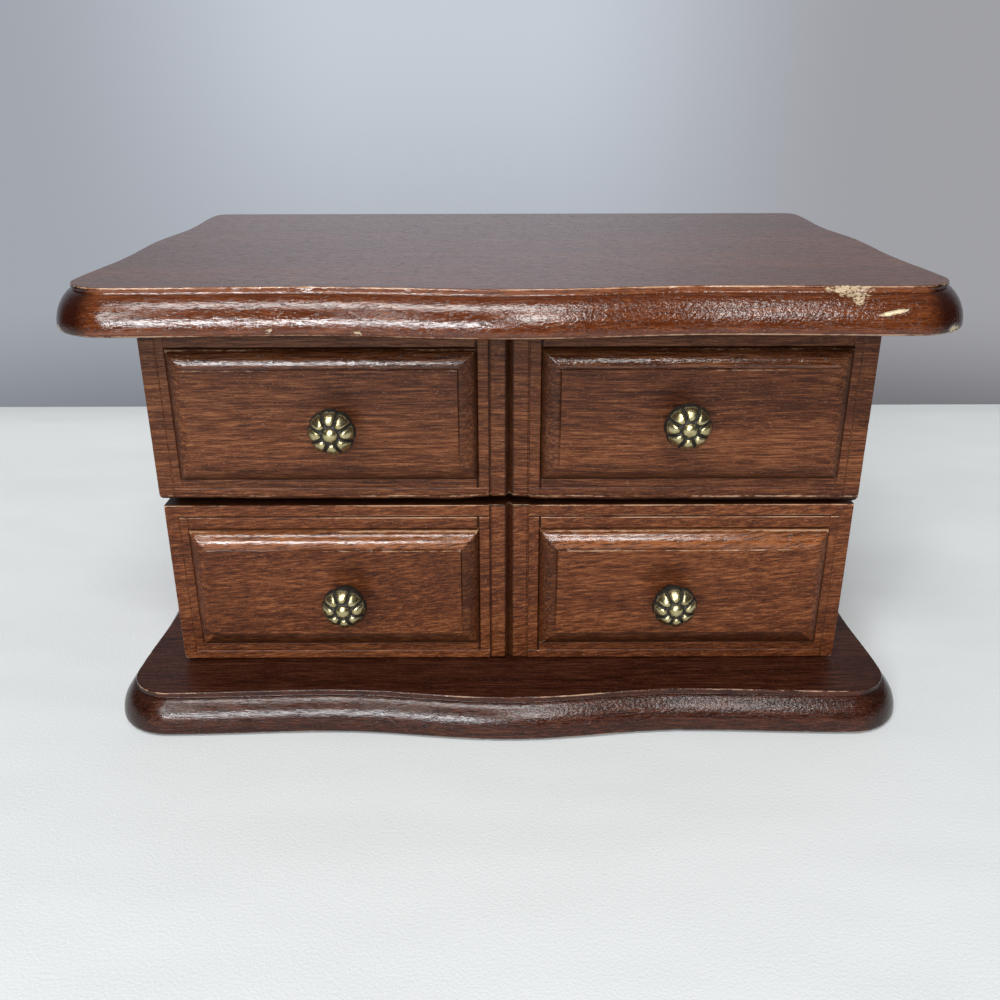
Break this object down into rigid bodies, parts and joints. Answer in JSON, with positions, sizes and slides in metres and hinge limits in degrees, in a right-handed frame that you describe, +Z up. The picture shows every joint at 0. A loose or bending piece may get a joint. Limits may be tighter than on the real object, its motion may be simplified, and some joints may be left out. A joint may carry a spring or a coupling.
{
  "type": "vanity box",
  "caption": "Small two-tier wooden vanity box: hinged lid with a mirror inside, fitted tray with ring rolls, and a full-width drawer with petal knobs between moulded boards.",
  "frame": {"origin": "middle of the box's footprint, on the surface that it stands on", "axes": "+X along the front towards the right-hand end as seen from the front, +Y from the front to the back, +Z up; the drawer opens towards -Y"},
  "size_m": [0.1808, 0.1222, 0.1003],
  "materials": {
    "mahogany": "mahogany stain under worn shellac, satin, fine grain",
    "dark_mahogany": "darker red-brown mahogany stain, glossy shellac",
    "plain_wood": "bare planed wood",
    "antique_brass": "cast antique brass, rubbed bright on the crests, dark patina in the grooves",
    "bright_brass": "plain brass, slightly dulled",
    "silvered_glass": "silvered glass",
    "backing_card": "matt grey-brown card",
    "velvet": "short-pile dark red velvet",
    "roll_velvet": "short-pile dark red velvet over stuffed rolls",
    "base_felt": "dark green felt"
  },
  "bodies": {
    "case": {"base_board": "dark_mahogany", "base_felt": "base_felt", "base_screws": "bright_brass", "case_side_left": "mahogany", "case_side_right": "mahogany", "case_back": "mahogany", "upper_front": "mahogany", "tray_floor": "plain_wood", "tray_lining": "velvet", "tray_divider": "velvet", "tray_cross_divider": "velvet", "ring_rolls": "roll_velvet", "upper_knob_left": "antique_brass", "upper_knob_right": "antique_brass", "upper_knob_screws": "bright_brass", "hinge_case_leaf_left": "bright_brass", "hinge_case_leaf_right": "bright_brass", "hinge_pin_left": "bright_brass", "hinge_pin_right": "bright_brass", "hinge_case_screws": "bright_brass"},
    "drawer": {"drawer_front": "mahogany", "drawer_side_left": "plain_wood", "drawer_side_right": "plain_wood", "drawer_back": "plain_wood", "drawer_bottom": "plain_wood", "drawer_lining": "velvet", "drawer_knob_left": "antique_brass", "drawer_knob_right": "antique_brass", "drawer_knob_screws": "bright_brass"},
    "lid": {"lid_board": "mahogany", "mirror_glass": "silvered_glass", "mirror_backing": "backing_card", "mirror_bead_front": "mahogany", "mirror_bead_back": "mahogany", "mirror_bead_left": "mahogany", "mirror_bead_right": "mahogany", "mirror_brads": "bright_brass", "hinge_lid_leaf_left": "bright_brass", "hinge_lid_leaf_right": "bright_brass", "hinge_lid_screws": "bright_brass"}
  },
  "joints": [
    {"name": "lid_hinge", "type": "hinge", "parent": "case", "child": "lid", "pos_m": [0, 0.05376, 0.0912], "axis": [-1, 0, 0], "range_deg": [0, 104]},
    {"name": "drawer_slide", "type": "slide", "parent": "case", "child": "drawer", "axis": [0, -1, 0], "range_m": [0, 0.058]}
  ]
}
